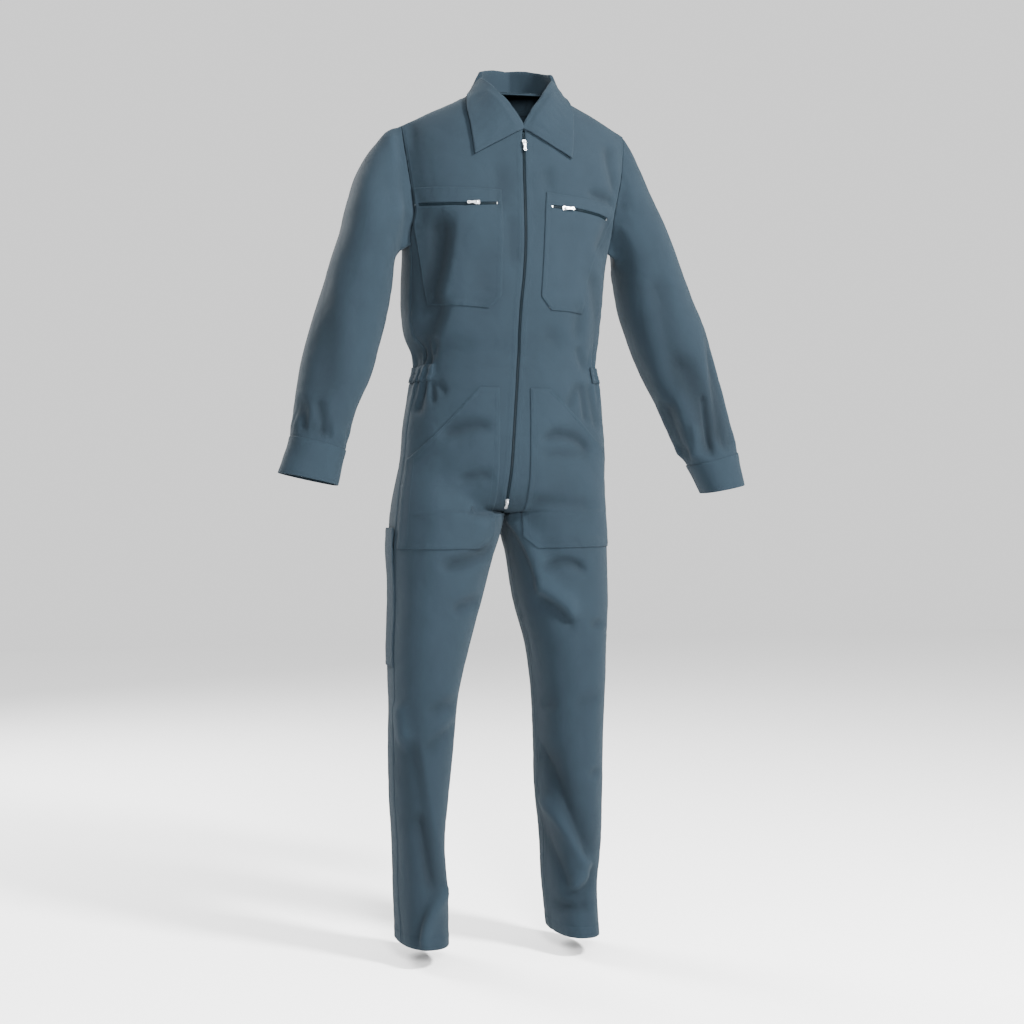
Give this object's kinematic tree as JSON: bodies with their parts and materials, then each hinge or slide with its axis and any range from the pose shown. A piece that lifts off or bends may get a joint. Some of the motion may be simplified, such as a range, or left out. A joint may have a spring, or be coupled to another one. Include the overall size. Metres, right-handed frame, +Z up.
{
  "type": "boiler suit",
  "caption": "Long-sleeved one-piece work coverall, worn form with no wearer, with front zip, turned-down collar, elastic waist casing, zipped chest pockets and slanted hip pockets.",
  "frame": {"origin": "middle of the neck opening, level with the tops of the shoulder seams, where the wearer's shoulders hold the suit", "axes": "+Z up, the front faces -Y, the wearer's left is +X"},
  "size_m": [0.8601, 0.2566, 1.5669],
  "materials": {
    "cloth": "matte twill",
    "zip_chain": "moulded teeth on woven tape",
    "zip_metal": "satin nickel"
  },
  "bodies": {
    "garment": {"front_right": "cloth", "front_left": "cloth", "back_bodice": "cloth", "back_leg_right": "cloth", "back_leg_left": "cloth", "sleeve_right": "cloth", "sleeve_left": "cloth", "cuff_right": "cloth", "cuff_left": "cloth", "waist_casing": "cloth", "chest_pocket_right": "cloth", "chest_chain_right": "zip_chain", "hip_pocket_right": "cloth", "chest_pocket_left": "cloth", "chest_chain_left": "zip_chain", "hip_pocket_left": "cloth", "rule_pocket": "cloth", "zip_chain": "zip_chain", "zip_slider_top": "zip_metal", "zip_slider_bottom": "zip_metal", "chest_slider_right": "zip_metal", "chest_slider_left": "zip_metal", "collar": "cloth", "hanger_loop": "cloth"},
    "pull_top": {"zip_pull_top": "zip_metal"},
    "pull_bottom": {"zip_pull_bottom": "zip_metal"},
    "pull_chest_right": {"chest_pull_right": "zip_metal"},
    "pull_chest_left": {"chest_pull_left": "zip_metal"}
  },
  "joints": [
    {"name": "pull_top_hinge", "type": "hinge", "parent": "garment", "child": "pull_top", "pos_m": [-0.0077, -0.10061, -0.10561], "axis": [-1, 0, 0], "range_deg": [0, 150]},
    {"name": "pull_bottom_hinge", "type": "hinge", "parent": "garment", "child": "pull_bottom", "pos_m": [-0.03447, -0.08679, -0.73297], "axis": [-1, 0, 0], "range_deg": [0, 150]},
    {"name": "pull_chest_right_hinge", "type": "hinge", "parent": "garment", "child": "pull_chest_right", "pos_m": [-0.09747, -0.11444, -0.21705], "axis": [0, 0.155, 0.9879], "range_deg": [0, 150]},
    {"name": "pull_chest_left_hinge", "type": "hinge", "parent": "garment", "child": "pull_chest_left", "pos_m": [0.06088, -0.12273, -0.22057], "axis": [0, -0.0688, -0.9976], "range_deg": [0, 150]}
  ]
}
